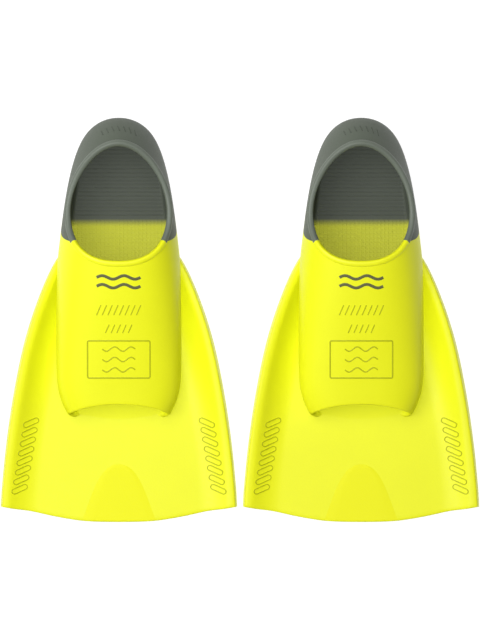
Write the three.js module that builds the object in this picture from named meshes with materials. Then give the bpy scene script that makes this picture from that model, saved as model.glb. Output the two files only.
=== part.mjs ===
// A pair of short-blade training fins in two-colour silicone, lying sole down.
// Millimetres, +Z up, +Y towards the heels, X across the pair; the origin is the middle of the
// footprint, on the floor. Each fin is drawn in its own plan: "across" is the distance from its
// centre plane, and "along" runs from the back of the heel (0) to the tip of the blade.
import * as THREE from "three";
import { mergeVertices } from "three/addons/utils/BufferGeometryUtils.js";

const { clamp, lerp, smoothstep } = THREE.MathUtils;

// ---- Driving dimensions ----

const finLength = 370;
const finHalfWidth = 108.2;
const gapBetweenFins = 5.2;
const pieceGap = 0.3; // between neighbouring solids
const plateThickness = 4.5; // sole and flat middle of the blade

// Foot pocket and heel cup
const wallThickness = 3.2;
const wideLevel = 25; // height of the widest line of the heel and instep
const toeWideLevel = 13; // the same line at the toes
const footTuck = 8; // how far the wall draws in from its widest line to the floor
const tuckPower = 2.2;
const pocketStart = 90; // the pocket's curves are defined from here to its end
const pocketEnd = 276;

// Foot opening
const rimWideAlong = 85;
const rimHalfWidth = 48;
const rimFrontAlong = 132.8;
const rimPower = 2.35;
const heelRimHeight = 66;
const heelRimAlong = 23.2; // the heel's top edge leans this far in over the foot
const heelLeanPower = 1.7;
const heelFootAlong = 7;
const rimRise = 0.58; // slope of the rim where the two colours meet
const heelStartReach = { floor: 38, rim: 31 }; // roundness of the heel at its back
const heelEndReach = { floor: 66, rim: 36 }; // how long the heel's sides run on from the pocket
const heelFloorStart = 36; // the heel floor's centre line starts this far from the back

// Toe window
const toeLipAlong = 262.7; // apex of the arched lip over the toes
const toeLipSweep = 9; // the lip runs this much further forward at its corners
const toeFootAlong = 275.4;

// Seam between the grey heel and the yellow pocket
const seamFloorAlong = 92.5;
const seamRimAlong = 113;
const seamRimHeight = 62;
const seamPower = 1.3; // larger keeps the seam further forward until it is near the floor

// Blade and side rails
const railBand = 6.5; // width of the flat top of a rail
const railSlope = 27; // width of the slope from a rail's top down to the blade
const railSlopePower = 2; // larger is steeper next to the rail and flatter next to the blade
const railDraft = 1.4; // a rail's outer wall leans out by this much at its foot
const soleDraft = -2.7; // the sole's edge draws in towards the floor, as the heel does
const hollowShare = 0.5; // hollow under a rail's slope, as a share of the height above it
const hollowFade = 40; // length over which the hollow starts and ends
const hollowStart = 125;
const hollowEnd = 345;
const slopeFacets = 6; // a rail's slope is divided into this many strips
const placeStep = 0.05; // places across the plate are rounded, so that close ones coincide
const minimumBand = 1.5; // width of the sole's edge where there is no rail
const footShares = [0.6, 0.25]; // places across the plate, as shares of the pocket's foot width
const creaseGap = 1.4; // between the pocket's curved wall and the straight edges of the sole
const bladeCornerAlong = 357;
const trailingSweepStart = 320; // rows of the blade start to follow the trailing edge here

// Flex line, across the fin in front of the toe window
const flexAlong = 293;
const flexHeight = 2.2;
const flexRadius = 15; // the blade's back edge is round about the flex line, so that it can turn
const flexGap = 0.7; // between the round faces of the blade and the sole
const flexFaceAlong = 281; // the round faces have the fin's cross-section from here
const flexFacets = 6;

// Printed mark on the instep: two wavy bands
const markBandAlong = [146, 154];
const markHalfLength = 20;
const markBandWidth = 3;
const markWaveHeight = 1.6;
const markThickness = 0.6;

const yellow = { color: 0xf4f61e, roughness: 0.45, metalness: 0 };
const grey = { color: 0x6c7364, roughness: 0.5, metalness: 0 };

// A smooth curve through design points [at, value].
function curveThrough(points) {
  const slopes = points.map((point, i) => {
    const before = points[Math.max(i - 1, 0)];
    const after = points[Math.min(i + 1, points.length - 1)];
    return (after[1] - before[1]) / (after[0] - before[0]);
  });
  return (at) => {
    let i = 0;
    while (i < points.length - 2 && at > points[i + 1][0]) i += 1;
    const [start, end] = [points[i], points[i + 1]];
    const span = end[0] - start[0];
    const t = clamp((at - start[0]) / span, 0, 1);
    const keep = (1 + 2 * t) * (1 - t) * (1 - t);
    const leave = t * (1 - t) * (1 - t) * span;
    const arrive = -t * t * (1 - t) * span;
    return keep * start[1] + (1 - keep) * end[1] + leave * slopes[i] + arrive * slopes[i + 1];
  };
}

// Half width of the pocket at its widest line, from the grey heel to the toes.
const pocketHalfWidth = curveThrough([
  [pocketStart, 51.3], [107, 53.4], [130, 55.9], [160, 56.8], [200, 57.2], [235, 57],
  [250, 55.3], [262, 51.5], [271, 47], [pocketEnd, 44.5],
]);

// Height of the outer surface over the centre line, as if the foot opening were closed.
const pocketTop = curveThrough([
  [pocketStart, 85], [113, 80], [135, 74.5], [165, 66], [205, 54], [240, 44], [263, 38],
  [pocketEnd, 35],
]);

// Exponent of the pocket's rounded section: larger is flatter on top.
const pocketPower = curveThrough([[pocketStart, 2.4], [140, 2.4], [220, 2.7], [pocketEnd, 2.9]]);

const pocketWideLevel = curveThrough([
  [pocketStart, wideLevel], [150, wideLevel], [220, 19], [pocketEnd, toeWideLevel],
]);

// Half width of the sole and blade on the floor, and how much narrower their top edge is.
const floorHalfWidth = curveThrough([
  [pocketStart, 43.5], [112, 46.8], [122, 51.5], [130, 57.7], [148, 66.9], [176, 77.8],
  [203, 86.1], [231, 92.5], [267, 98.9], [304, 103.9], [341, 107.4],
  [bladeCornerAlong, finHalfWidth],
]);
const edgeDraft = curveThrough([
  [pocketStart, soleDraft], [112, soleDraft], [130, railDraft], [finLength, railDraft],
]);

// Place of the trailing edge, from the centre plane outwards.
const trailingEdge = curveThrough([
  [0, finLength], [20, 369.7], [37, 368.5], [59, 364.8], [81, 360], [97, 357.9],
  [finHalfWidth, 355.9],
]);

// Height of a rail's top above the floor.
const railHeight = curveThrough([
  [pocketStart, plateThickness], [121, plateThickness], [130, 21], [150, 23], [200, 21],
  [250, 17.5], [flexAlong, 14.5], [330, 12.5], [finLength, 11],
]);

// ---- Surface of the foot pocket ----

// Distance of the outer wall from the centre plane at a height.
function wallAcross(along, height) {
  const wide = pocketWideLevel(along);
  const half = pocketHalfWidth(along);
  if (height < wide) return half - footTuck * ((wide - height) / wide) ** tuckPower;
  const power = pocketPower(along);
  const share = Math.min((height - wide) / (pocketTop(along) - wide), 1);
  return half * (1 - share ** power) ** (1 / power);
}

// Height of the outer surface above a place on the instep.
function instepHeight(across, along) {
  const wide = pocketWideLevel(along);
  const power = pocketPower(along);
  const share = Math.min(Math.abs(across) / pocketHalfWidth(along), 1);
  return wide + (pocketTop(along) - wide) * (1 - share ** power) ** (1 / power);
}

// Half width of the foot opening's outer rim, in front of its widest place.
function rimAcross(along) {
  const share = clamp((along - rimWideAlong) / (rimFrontAlong - rimWideAlong), 0, 1);
  return rimHalfWidth * (1 - share ** rimPower) ** (1 / rimPower);
}

// The colour seam is upright through the sole, and leans forward from there up to the rim.
function seamAlong(height) {
  const left = clamp((seamRimHeight - height) / (seamRimHeight - plateThickness), 0, 1);
  return lerp(seamRimAlong, seamFloorAlong, left ** seamPower);
}

// One point of the arched section: turn runs from -1 (floor) over 0 (widest) to 1 (centre line).
function sectionPoint(along, turn) {
  const wide = pocketWideLevel(along);
  if (turn < 0) {
    const height = wide + (wide - plateThickness - pieceGap) * turn;
    return { across: wallAcross(along, height), height };
  }
  const power = 2 / pocketPower(along);
  const angle = (turn * Math.PI) / 2;
  return {
    across: pocketHalfWidth(along) * Math.max(Math.cos(angle), 0) ** power,
    height: wide + (pocketTop(along) - wide) * Math.sin(angle) ** power,
  };
}

// The place where a growing function crosses zero, between two limits.
function crossing(difference, low, high) {
  const halvings = 40;
  for (let step = 0; step < halvings; step += 1) {
    const middle = (low + high) / 2;
    if (difference(middle) < 0) low = middle;
    else high = middle;
  }
  return (low + high) / 2;
}

// Back edge of the pocket on one lengthwise line: the colour seam, then the rim of the opening.
function pocketBack(turn) {
  const pastSeam = (along) => along - seamAlong(sectionPoint(along, turn).height);
  const pastRim = (along) => sectionPoint(along, turn).across - rimAcross(along);
  const seam = crossing(pastSeam, pocketStart, seamRimAlong);
  const rim = crossing(pastRim, rimWideAlong, rimFrontAlong);
  return Math.max(seam + pieceGap, rim);
}

// Front edge of the pocket on one lengthwise line: the arched lip over the toes.
function pocketFront(turn) {
  if (turn < 0) return lerp(toeLipAlong + toeLipSweep, toeFootAlong, -turn);
  const share = sectionPoint(toeLipAlong, turn).across / pocketHalfWidth(toeLipAlong);
  return toeLipAlong + toeLipSweep * share * share;
}

// The pocket from floor to floor: turn runs from -2 (left floor) over 0 (centre) to 2.
function pocketSurface(lengthwise, turn) {
  const half = 1 - Math.abs(turn);
  const along = lerp(pocketBack(half), pocketFront(half), lengthwise);
  const point = sectionPoint(along, half);
  return new THREE.Vector3(Math.sign(turn) * point.across, along, point.height);
}

// ---- Surface of the heel cup ----

function heelBackAlong(height) {
  if (height < wideLevel) {
    return heelFootAlong * ((wideLevel - height) / wideLevel) ** tuckPower;
  }
  return heelRimAlong * ((height - wideLevel) / (heelRimHeight - wideLevel)) ** heelLeanPower;
}

// The heel's outer wall. Round runs from -1 (left seam) over 0 (back) to 1 (right seam), and
// level from 0 (floor) to 1 (rim). Each level is a Bezier curve that arrives along the pocket.
function heelSurface(round, level) {
  const startHeight = heelRimHeight * level;
  const endHeight = instepHeight(rimAcross(seamRimAlong), seamRimAlong) * level;
  const endAlong = seamAlong(endHeight);
  const endAcross = wallAcross(endAlong, endHeight);
  const rise = rimRise * level * level;
  const widening = endAcross - wallAcross(endAlong - 1, Math.max(endHeight - rise, 0));
  const startReach = lerp(heelStartReach.floor, heelStartReach.rim, level * level);
  const endReach = lerp(heelEndReach.floor, heelEndReach.rim, level);
  const start = new THREE.Vector3(0, heelBackAlong(startHeight), startHeight);
  const end = new THREE.Vector3(endAcross, endAlong, endHeight);
  const leaving = new THREE.Vector3(startReach, 0, 0).add(start);
  const arriving = new THREE.Vector3(-widening, -1, -rise).multiplyScalar(endReach).add(end);
  const curve = new THREE.CubicBezierCurve3(start, leaving, arriving, end);
  const point = curve.getPoint(Math.abs(round));
  point.x *= Math.sign(round);
  return point;
}

// ---- Closed bodies from grids of points ----

function evenly(count, from = 0, to = 1) {
  return Array.from({ length: count + 1 }, (_, i) => lerp(from, to, i / count));
}

// A point of a surface moved along its normal.
function offsetPoint(surface, u, v, distance) {
  const step = 1e-3;
  const alongU = surface(u + step, v).sub(surface(u - step, v));
  const alongV = surface(u, v + step).sub(surface(u, v - step));
  return surface(u, v).addScaledVector(alongU.cross(alongV).normalize(), distance);
}

// Splits a four-sided face along the diagonal that keeps its smaller triangle larger.
function splitFace(corners, a, b, c, d) {
  const area = (i, j, k) => new THREE.Triangle(corners[i], corners[j], corners[k]).getArea();
  const first = Math.min(area(a, b, c), area(a, c, d));
  const second = Math.min(area(a, b, d), area(b, c, d));
  return first > second ? [[a, b, c], [a, c, d]] : [[a, b, d], [b, c, d]];
}

// A closed body between two grids of points, joined along its edges. With foldLast the last
// column of each grid is already closed on itself.
function bodyBetween(outer, inner, foldLast = false) {
  const rows = outer.length;
  const columns = outer[0].length;
  const corners = [...outer.flat(), ...inner.flat()];
  const at = (side, i, j) => (side * rows + i) * columns + j;
  const faces = [];
  const quad = (a, b, c, d) => faces.push(...splitFace(corners, a, b, c, d));
  for (let i = 0; i < rows - 1; i += 1) {
    for (let j = 0; j < columns - 1; j += 1) {
      quad(at(0, i, j), at(0, i + 1, j), at(0, i + 1, j + 1), at(0, i, j + 1));
      quad(at(1, i, j), at(1, i, j + 1), at(1, i + 1, j + 1), at(1, i + 1, j));
    }
    quad(at(0, i, 0), at(1, i, 0), at(1, i + 1, 0), at(0, i + 1, 0));
    if (!foldLast) {
      const j = columns - 1;
      quad(at(0, i, j), at(0, i + 1, j), at(1, i + 1, j), at(1, i, j));
    }
  }
  for (let j = 0; j < columns - 1; j += 1) {
    const i = rows - 1;
    quad(at(0, 0, j), at(0, 0, j + 1), at(1, 0, j + 1), at(1, 0, j));
    quad(at(0, i, j), at(1, i, j), at(1, i, j + 1), at(0, i, j + 1));
  }
  return closedGeometry(corners, faces);
}

// Merges shared corners, drops faces that collapse and turns every face outwards.
function closedGeometry(corners, faces) {
  const loose = new THREE.BufferGeometry();
  const places = corners.flatMap((corner) => [corner.x, finLength / 2 - corner.y, corner.z]);
  loose.setAttribute("position", new THREE.Float32BufferAttribute(places, 3));
  loose.setIndex(faces.flat());
  const merged = mergeVertices(loose, 1e-3);
  const index = Array.from(merged.index.array);
  const point = (i) => new THREE.Vector3().fromBufferAttribute(merged.attributes.position, i);
  const kept = [];
  let volume = 0;
  for (let i = 0; i < index.length; i += 3) {
    const [a, b, c] = index.slice(i, i + 3);
    if (a === b || b === c || c === a) continue;
    kept.push([a, b, c]);
    volume += point(a).dot(point(b).cross(point(c)));
  }
  merged.setIndex(kept.flatMap(([a, b, c]) => (volume < 0 ? [a, c, b] : [a, b, c])));
  return merged;
}

// ---- Sub-parts, each in the frame of one fin ----

function footPocket() {
  const rows = evenly(12);
  const wall = evenly(4, -2, -1);
  const arch = evenly(16, -1, 1).slice(1, -1);
  const turns = [...wall, ...arch, ...wall.map((turn) => -turn).reverse()];
  const outer = rows.map((row) => turns.map((turn) => pocketSurface(row, turn)));
  const lastTurn = 1.999; // normals are taken just above the floor
  const innerPoint = (row, turn) => {
    const inside = clamp(turn, -lastTurn, lastTurn);
    const point = offsetPoint(pocketSurface, row, inside, wallThickness);
    if (Math.abs(turn) === 2) point.z = plateThickness + pieceGap;
    point.y = Math.max(point.y, seamAlong(point.z) + pieceGap);
    return point;
  };
  const inner = rows.map((row) => turns.map((turn) => innerPoint(row, turn)));
  return bodyBetween(outer, inner);
}

function heelCup() {
  const rounds = evenly(20, -1, 1);
  const levels = [...evenly(7, 1, plateThickness / heelRimHeight), 0];
  const lowestLevel = 0.01; // normals are taken just above the floor
  const innerPoint = (round, level) => {
    const point = offsetPoint(heelSurface, round, Math.max(level, lowestLevel), -wallThickness);
    point.z = Math.max(point.z, plateThickness);
    const limit = point.z > plateThickness ? seamAlong(point.z) : seamFloorAlong;
    point.y = Math.min(point.y, limit);
    return point;
  };
  const column = (round, wallPoint) => {
    const wall = levels.map((level) => wallPoint(round, level));
    const foot = wall[wall.length - 1];
    const centre = new THREE.Vector3(0, lerp(heelFloorStart, seamFloorAlong, round ** 2), foot.z);
    return [...wall, foot.clone().lerp(centre, 0.5), centre];
  };
  const outer = rounds.map((round) => column(round, heelSurface));
  const inner = rounds.map((round) => column(round, innerPoint));
  return bodyBetween(outer, inner, true);
}

// Height below which a place beside the pocket is clear of the pocket's wall.
function clearHeight(across, along) {
  const inside = pocketHalfWidth(along) + creaseGap - across;
  if (inside <= 0 || along > pocketEnd) return Infinity;
  const height = pocketWideLevel(along) * (1 - (inside / footTuck) ** (1 / tuckPower));
  return Math.max(height, plateThickness);
}

// One crosswise row of the sole and blade, from the edge to near the centre plane, as
// [distance from the centre plane, height of the top, height of the underside].
function plateRow(along) {
  const edge = floorHalfWidth(along) - edgeDraft(along);
  const rail = Math.max(railHeight(along), plateThickness);
  const top = (across) => {
    const left = clamp(1 - (edge - railBand - across) / railSlope, 0, 1);
    const height = lerp(plateThickness, rail, left ** railSlopePower);
    return Math.min(height, clearHeight(across, along));
  };
  const wall = (height) => wallAcross(along, height) + creaseGap;
  const inside = Math.min(edge, floorHalfWidth(along)) - minimumBand;
  const foot = Math.min(wall(plateThickness), inside);
  const crease = clamp(wall(top(pocketHalfWidth(along) + creaseGap)), foot, inside);
  const bandEnd = Math.max(edge - railBand, crease);
  const slopeEnd = Math.max(crease, bandEnd - railSlope);
  const slopePlaces = evenly(slopeFacets).map((share) => lerp(bandEnd, slopeEnd, share));
  const middle = clamp(wall((top(crease) + plateThickness) / 2), foot, crease);
  const floorPlaces = [1, ...footShares].map((share) => share * foot);
  const places = [edge, ...slopePlaces, crease, middle, ...floorPlaces];
  const lengthwise = smoothstep(along, hollowStart, hollowStart + hollowFade)
    * (1 - smoothstep(along, hollowEnd - hollowFade, hollowEnd));
  return places.map((place) => {
    const across = Math.round(place / placeStep) * placeStep;
    const crosswise = clamp((bandEnd - place) / Math.max(bandEnd - slopeEnd, 1), 0, 1);
    const hollow = hollowShare * lengthwise * Math.sin(Math.PI * crosswise);
    return [across, top(across), hollow * (top(across) - plateThickness)];
  });
}

// A whole row of the top or the underside, from its right edge to its left.
function mirrored(right) {
  const left = right.map((p) => new THREE.Vector3(-p.x, p.y, p.z)).reverse();
  return [...right, ...left];
}

function topRow(along) {
  return mirrored(plateRow(along).map(([across, top]) => sweptPoint(across, along, top)));
}

function bottomRow(along) {
  const row = plateRow(along);
  row[0][0] = floorHalfWidth(along);
  return mirrored(row.map(([across, , underside]) => sweptPoint(across, along, underside)));
}

// The last rows of the blade bend to follow the trailing edge.
function sweptPoint(across, along, height) {
  const sweep = smoothstep(along, trailingSweepStart, bladeCornerAlong);
  const swept = along + sweep * (trailingEdge(across) - bladeCornerAlong);
  return new THREE.Vector3(across, swept, height);
}

// A row on the round face at the flex line: share 0 is the underside and share 1 the top.
function flexRow(share, radius) {
  const floorEdge = floorHalfWidth(flexFaceAlong);
  return mirrored(plateRow(flexFaceAlong).map(([across, top, underside], i) => {
    const low = Math.asin((underside - flexHeight) / radius);
    const angle = lerp(low, Math.asin((top - flexHeight) / radius), share);
    return new THREE.Vector3(
      i === 0 ? lerp(floorEdge, across, share) : across,
      flexAlong - radius * Math.cos(angle),
      flexHeight + radius * Math.sin(angle),
    );
  }));
}

// Under the foot, with both rails beside the pocket, up to the flex line.
function sole() {
  const rows = [
    ...evenly(1, seamFloorAlong + pieceGap, 112), ...evenly(6, 118, 136), ...evenly(8, 149, 270),
  ];
  const radius = flexRadius + flexGap;
  const face = evenly(flexFacets, 1, 0).map((share) => flexRow(share, radius));
  const top = [...rows.map(topRow), ...face];
  const bottom = [...rows.map(bottomRow), ...face.map(() => flexRow(0, radius))];
  return bodyBetween(top, bottom);
}

function blade() {
  const rows = evenly(4, 300, bladeCornerAlong);
  const face = evenly(flexFacets).map((share) => flexRow(share, flexRadius));
  const top = [...face, ...rows.map(topRow)];
  const bottom = [...face.map(() => flexRow(0, flexRadius)), ...rows.map(bottomRow)];
  return bodyBetween(top, bottom);
}

// A wavy band that follows the instep, just clear of it.
function printedWave(bandAlong) {
  const steps = evenly(16, -1, 1);
  const bandPoint = (step, side, lift) => {
    const across = step * markHalfLength;
    const wave = markWaveHeight * Math.sin(2 * Math.PI * step);
    const along = bandAlong + wave + (side * markBandWidth) / 2;
    const surface = (x, y) => new THREE.Vector3(x, y, instepHeight(x, y));
    return offsetPoint(surface, across, along, lift);
  };
  const layer = (lift) => steps.map((step) => [-1, 1].map((side) => bandPoint(step, side, lift)));
  return bodyBetween(layer(pieceGap + markThickness), layer(pieceGap));
}

function makeFin(side) {
  const fin = new THREE.Group();
  const addPiece = (name, geometry, finish) => {
    const piece = new THREE.Mesh(geometry, new THREE.MeshStandardMaterial(finish));
    piece.name = `${side}_${name}`;
    fin.add(piece);
  };
  addPiece("heel_cup", heelCup(), grey);
  addPiece("foot_pocket", footPocket(), yellow);
  addPiece("sole", sole(), yellow);
  addPiece("blade", blade(), yellow);
  addPiece("print_wave_rear", printedWave(markBandAlong[0]), grey);
  addPiece("print_wave_front", printedWave(markBandAlong[1]), grey);
  return fin;
}

const pair = new THREE.Group();
const finSpacing = 2 * finHalfWidth + gapBetweenFins;
const leftFin = makeFin("left");
leftFin.position.x = -finSpacing / 2;
const rightFin = makeFin("right");
rightFin.position.x = finSpacing / 2;
pair.add(leftFin, rightFin);

export default pair;
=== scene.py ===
"""Looks for a pair of short-blade training fins in two-colour silicone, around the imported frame.

A fin is drawn in its own plan, in millimetres: "across" is the distance from its centre plane,
"along" runs from the back of the heel (0) to the tip of the blade, and heights are above the
floor. place_fin() turns that into the row frame, in metres.
"""
import math

import bmesh
import bpy
import numpy as np
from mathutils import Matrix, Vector


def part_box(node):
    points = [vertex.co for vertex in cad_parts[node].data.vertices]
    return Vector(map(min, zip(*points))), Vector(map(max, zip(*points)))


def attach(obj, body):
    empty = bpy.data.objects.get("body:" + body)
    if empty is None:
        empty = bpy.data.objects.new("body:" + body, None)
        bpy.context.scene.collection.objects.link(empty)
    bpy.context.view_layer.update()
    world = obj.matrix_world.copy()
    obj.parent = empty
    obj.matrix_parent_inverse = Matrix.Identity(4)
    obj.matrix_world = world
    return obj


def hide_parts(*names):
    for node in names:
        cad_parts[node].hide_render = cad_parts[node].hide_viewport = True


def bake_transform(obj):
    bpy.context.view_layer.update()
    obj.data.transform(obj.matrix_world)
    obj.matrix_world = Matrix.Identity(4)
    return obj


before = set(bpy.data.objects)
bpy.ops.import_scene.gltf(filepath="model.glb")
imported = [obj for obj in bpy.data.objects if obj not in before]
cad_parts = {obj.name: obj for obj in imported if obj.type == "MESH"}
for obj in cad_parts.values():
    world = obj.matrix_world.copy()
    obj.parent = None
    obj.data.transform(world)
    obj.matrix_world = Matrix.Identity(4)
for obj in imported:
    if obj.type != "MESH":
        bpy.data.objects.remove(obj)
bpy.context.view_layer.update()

MM = 0.001
SIDES = ("left", "right")

# ---- Dimensions of a fin, in millimetres, the same as the CAD part's ----

FIN_LENGTH = 370.0
PLATE = 4.5  # thickness of the sole and of the flat middle of the blade
WALL = 3.2  # thickness of the pocket's and heel's walls
WIDE_LEVEL = 25.0  # height of the widest line of the heel and instep
TOE_WIDE_LEVEL = 13.0  # the same line at the toes
FOOT_TUCK = 8.0  # how far the wall draws in from its widest line to the floor
TUCK_POWER = 2.2
POCKET_START = 90.0  # the pocket's curves are defined from here to its end
POCKET_END = 276.0

RIM_WIDE_ALONG = 85.0  # the foot opening is widest here
RIM_HALF_WIDTH = 48.0
RIM_FRONT_ALONG = 132.8
RIM_POWER = 2.35  # roundness of its front edge
HEEL_RIM_HEIGHT = 66.0
HEEL_RIM_ALONG = 23.2  # the heel's top edge leans this far in over the foot
HEEL_LEAN_POWER = 1.7
HEEL_FOOT_ALONG = 7.0
RIM_RISE = 0.58  # slope of the rim where the two colours meet
HEEL_START_REACH = (38.0, 31.0)  # roundness of the heel at its back, on the floor and at the rim
HEEL_END_REACH = (66.0, 36.0)  # how long its sides run on from the pocket, floor and rim
HEEL_FLOOR_START = 36.0  # the heel floor's centre line starts this far from the back

TOE_LIP_ALONG = 262.7  # apex of the arched lip over the toes
TOE_LIP_SWEEP = 9.0  # the lip runs this much further forward at its corners
TOE_FOOT_ALONG = 275.4

SEAM_FLOOR_ALONG = 92.5  # seam between the grey heel and the yellow pocket
SEAM_RIM_ALONG = 113.0
SEAM_RIM_HEIGHT = 62.0
SEAM_POWER = 1.3

RAIL_BAND = 6.5  # width of the flat top of a rail
RAIL_SLOPE = 27.0  # width of the slope from a rail's top down to the blade
RAIL_SLOPE_POWER = 2.0
HOLLOW_SHARE = 0.5  # hollow under a rail's slope, as a share of the height above it
HOLLOW_FADE = 40.0  # length over which the hollow starts and ends
HOLLOW_ALONG = (125.0, 345.0)
SOLE_DRAFT = -2.7  # the sole's edge draws in towards the floor, as the heel does
RAIL_DRAFT = 1.4  # a rail's outer wall leans out by this much at its foot
BLADE_CORNER_ALONG = 357.0
SWEEP_START = 320.0  # rows of the blade start to follow the trailing edge here

# ---- Roundings and details that only the looks have ----

BEAD_RADIUS = 2.8  # rolled rim of the foot opening
BEAD_SQUARENESS = 0.72  # 1 is a round section, and less is squarer
BEAD_FACETS = 16
BEAD_DROP = 1.3  # its centre is this far below the wall's edge
FLOOR_FILLET = 3.5  # where the inner walls meet the floor
FOOT_ROUND = 1.5  # the lowest edge of the heel and sole
EDGE_ROUND = 1.4  # top and tip edges of the blade
RAIL_SOFTNESS = 2.0  # the rail's flat top turns into its slope over about this width
LOWEST = 0.05  # walls that end inside the sole stop this far above the floor
TONGUE_ALONG = 317.0  # start of the panel in the middle of the blade, a parabola that opens to the tip
TONGUE_HALF_WIDTH = 34.0
TONGUE_HEIGHT = 0.35  # how far the panel stands above the blade

EDGE_CLEARANCE = 0.6  # the rail's slope and band end at least this far before the rounded edge

FLEX_BLEND_ALONG = (277.0, 330.0)  # two places along the blade; ride_blade() turns them into points that nothing uses
HEEL_BLEND_ALONG = (93.0, 30.0)  # two places along the heel; ride_heel() turns them into points that nothing uses


# ---- Curves and surfaces ----

def clamp01(x):
    return np.clip(x, 0.0, 1.0)


def lerp(start, end, t):
    return start + (end - start) * t


def smoothstep(x, low, high):
    t = clamp01((x - low) / (high - low))
    return t * t * (3 - 2 * t)


def evenly(count, start=0.0, end=1.0):
    return np.linspace(start, end, count + 1)


def round_inset(distance, radius):
    """How far a rounded edge draws in at a distance from where it would have been sharp."""
    left = radius - np.clip(distance, 0.0, radius)
    return radius - np.sqrt(radius * radius - left * left)


def curve_through(*points):
    """A smooth curve through design points (at, value)."""
    at, value = np.array(points, float).T
    before = np.maximum(np.arange(len(at)) - 1, 0)
    after = np.minimum(np.arange(len(at)) + 1, len(at) - 1)
    slopes = (value[after] - value[before]) / (at[after] - at[before])

    def curve(x):
        x = np.asarray(x, float)
        i = np.clip(np.searchsorted(at, x, side="left") - 1, 0, len(at) - 2)
        span = at[i + 1] - at[i]
        t = clamp01((x - at[i]) / span)
        keep = (1 + 2 * t) * (1 - t) ** 2
        bend = t * (1 - t) ** 2 * slopes[i] - t * t * (1 - t) * slopes[i + 1]
        return keep * value[i] + (1 - keep) * value[i + 1] + span * bend

    return curve


pocket_half_width = curve_through(
    (POCKET_START, 51.3), (107, 53.4), (130, 55.9), (160, 56.8), (200, 57.2), (235, 57),
    (250, 55.3), (262, 51.5), (271, 47), (POCKET_END, 44.5),
)
pocket_top = curve_through(
    (POCKET_START, 85), (113, 80), (135, 74.5), (165, 66), (205, 54), (240, 44), (263, 38),
    (POCKET_END, 35),
)
pocket_power = curve_through((POCKET_START, 2.4), (140, 2.4), (220, 2.7), (POCKET_END, 2.9))
pocket_wide_level = curve_through(
    (POCKET_START, WIDE_LEVEL), (150, WIDE_LEVEL), (220, 19), (POCKET_END, TOE_WIDE_LEVEL),
)
floor_half_width = curve_through(
    (POCKET_START, 43.5), (112, 46.8), (122, 51.5), (130, 57.7), (148, 66.9), (176, 77.8),
    (203, 86.1), (231, 92.5), (267, 98.9), (304, 103.9), (341, 107.4), (BLADE_CORNER_ALONG, 108.2),
)
edge_draft = curve_through(
    (POCKET_START, SOLE_DRAFT), (112, SOLE_DRAFT), (130, RAIL_DRAFT), (FIN_LENGTH, RAIL_DRAFT),
)
trailing_edge = curve_through(
    (0, FIN_LENGTH), (20, 369.7), (37, 368.5), (59, 364.8), (81, 360), (97, 357.9), (108.2, 355.9),
)
rail_height = curve_through(
    (POCKET_START, PLATE), (121, PLATE), (130, 21), (150, 23), (200, 21), (250, 17.5),
    (293, 14.5), (330, 12.5), (FIN_LENGTH, 11),
)


def points_of(across, along, height):
    """Plan coordinates as one array of points."""
    return np.stack(np.broadcast_arrays(across, along, height), axis=-1).astype(float)


def wall_across(along, height):
    """Distance of the pocket's outer wall from the centre plane at a height."""
    wide = pocket_wide_level(along)
    power = pocket_power(along)
    tuck = FOOT_TUCK * clamp01((wide - height) / wide) ** TUCK_POWER
    share = clamp01((height - wide) / (pocket_top(along) - wide))
    return pocket_half_width(along) * (1 - share ** power) ** (1 / power) - tuck


def instep_height(across, along):
    """Height of the pocket's outer surface above a place in plan."""
    wide = pocket_wide_level(along)
    power = pocket_power(along)
    share = clamp01(np.abs(across) / pocket_half_width(along))
    return wide + (pocket_top(along) - wide) * (1 - share ** power) ** (1 / power)


def rim_across(along):
    share = clamp01((along - RIM_WIDE_ALONG) / (RIM_FRONT_ALONG - RIM_WIDE_ALONG))
    return RIM_HALF_WIDTH * (1 - share ** RIM_POWER) ** (1 / RIM_POWER)


def seam_along(height):
    left = clamp01((SEAM_RIM_HEIGHT - height) / (SEAM_RIM_HEIGHT - PLATE))
    return lerp(SEAM_RIM_ALONG, SEAM_FLOOR_ALONG, left ** SEAM_POWER)


def section_point(along, turn):
    """One point of the arched section: turn is -1 at the floor, 0 widest and 1 on top."""
    wide = pocket_wide_level(along)
    power = 2 / pocket_power(along)
    angle = clamp01(turn) * math.pi / 2
    arch = wide + (pocket_top(along) - wide) * np.sin(angle) ** power
    side = wide + (wide - LOWEST) * np.minimum(turn, 0)
    height = np.where(turn > 0, arch, side)
    arch_across = pocket_half_width(along) * np.maximum(np.cos(angle), 0) ** power
    across = np.where(turn > 0, arch_across, wall_across(along, side))
    return across, height


def turn_at(along, height):
    """The inverse of section_point."""
    wide = pocket_wide_level(along)
    share = clamp01((height - wide) / (pocket_top(along) - wide))
    arch = np.arcsin(share ** (pocket_power(along) / 2)) * 2 / math.pi
    return np.where(height > wide, arch, (height - wide) / (wide - LOWEST))


RIM_CORNER_HEIGHT = float(instep_height(rim_across(SEAM_RIM_ALONG), SEAM_RIM_ALONG))
SEAM_HEIGHTS = np.concatenate([
    evenly(5, LOWEST, PLATE),
    evenly(22, PLATE, RIM_CORNER_HEIGHT)[1:],
])


def pocket_front(turn):
    """Front edge of the pocket on each lengthwise line: the arched lip over the toes."""
    reach = section_point(TOE_LIP_ALONG, turn)[0] / pocket_half_width(TOE_LIP_ALONG)
    lip = TOE_LIP_ALONG + TOE_LIP_SWEEP * reach * reach
    wall = lerp(TOE_LIP_ALONG + TOE_LIP_SWEEP, TOE_FOOT_ALONG, -turn)
    return np.where(turn < 0, wall, lip)


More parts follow.
